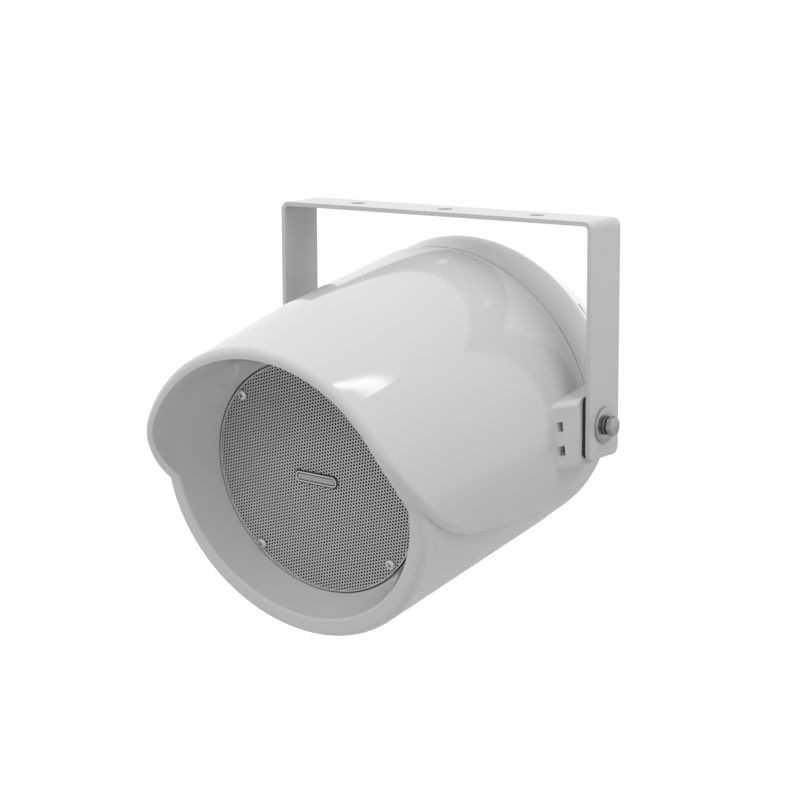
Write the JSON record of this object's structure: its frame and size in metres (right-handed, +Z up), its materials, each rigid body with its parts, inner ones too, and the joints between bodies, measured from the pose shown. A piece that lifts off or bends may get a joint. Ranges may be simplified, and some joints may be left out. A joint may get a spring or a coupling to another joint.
{
  "type": "horn-shaped sound projector loudspeaker",
  "caption": "Light grey weatherproof sound projector: a round loudspeaker in a tube with an overhanging hood, tilting on pivot bolts in a U-shaped steel mounting bracket.",
  "frame": {"origin": "centre of the middle fixing hole at the top face of the bracket's cross strip", "axes": "+X along the bracket's cross strip and the pivot axis, to the right as the picture shows it; +Y to the speaker's back, so it faces -Y; +Z up, out of the bracket's top face"},
  "size_m": [0.2274, 0.3027, 0.2226],
  "materials": {
    "bracket_paint": "satin light grey paint",
    "housing_plastic": "glossy light grey ABS",
    "grille_paint": "satin grey paint",
    "zinc_steel": "bright zinc plate",
    "washer_rubber": "matt black",
    "insert_brass": "knurled brass",
    "badge_metal": "satin, plain",
    "cloth": "black weave",
    "gasket_foam": "closed-cell foam",
    "basket_paint": "black paint",
    "cone_paper": "pressed paper",
    "surround_rubber": "matt black",
    "spider_cloth": "resin-stiffened cloth",
    "copper": "enamelled copper wire",
    "ferrite": "sintered ferrite",
    "core_steel": "plain steel",
    "terminal_plastic": "moulded black",
    "gland_plastic": "moulded grey nylon",
    "seal_rubber": "matt black"
  },
  "bodies": {
    "bracket": {"mounting_bracket": "bracket_paint"},
    "speaker": {"housing": "housing_plastic", "rear_cover": "housing_plastic", "grille": "grille_paint", "grille_screws": "zinc_steel", "badge_plate": "badge_metal", "pivot_bolts": "zinc_steel", "spring_washers": "zinc_steel", "flat_washers": "zinc_steel", "friction_washers": "washer_rubber", "threaded_inserts": "insert_brass", "grille_cloth": "cloth", "front_gasket": "gasket_foam", "driver_basket": "basket_paint", "surround": "surround_rubber", "spider": "spider_cloth", "top_plate": "core_steel", "magnet": "ferrite", "pole_yoke": "core_steel", "driver_terminal": "terminal_plastic", "rear_gasket": "gasket_foam", "rear_cover_screws": "zinc_steel", "transformer_core": "core_steel", "transformer_winding": "copper", "transformer_strap": "zinc_steel", "transformer_screws": "zinc_steel", "terminal_block": "terminal_plastic", "gland_body": "gland_plastic", "gland_nut": "gland_plastic", "gland_locknut": "gland_plastic", "gland_seal": "seal_rubber"},
    "diaphragm": {"cone": "cone_paper", "dust_cap": "cone_paper", "voice_coil": "copper"}
  },
  "joints": [
    {"name": "bracket_tilt", "type": "hinge", "parent": "bracket", "child": "speaker", "pos_m": [0, 0, -0.1146], "axis": [1, 0, 0], "range_deg": [-32, 75]},
    {"name": "cone_travel", "type": "slide", "parent": "speaker", "child": "diaphragm", "axis": [0, -0.9842, -0.1771], "range_m": [-0.0025, 0.0025], "stiffness_N_per_m": 1200, "deforming": ["surround", "spider"]}
  ]
}
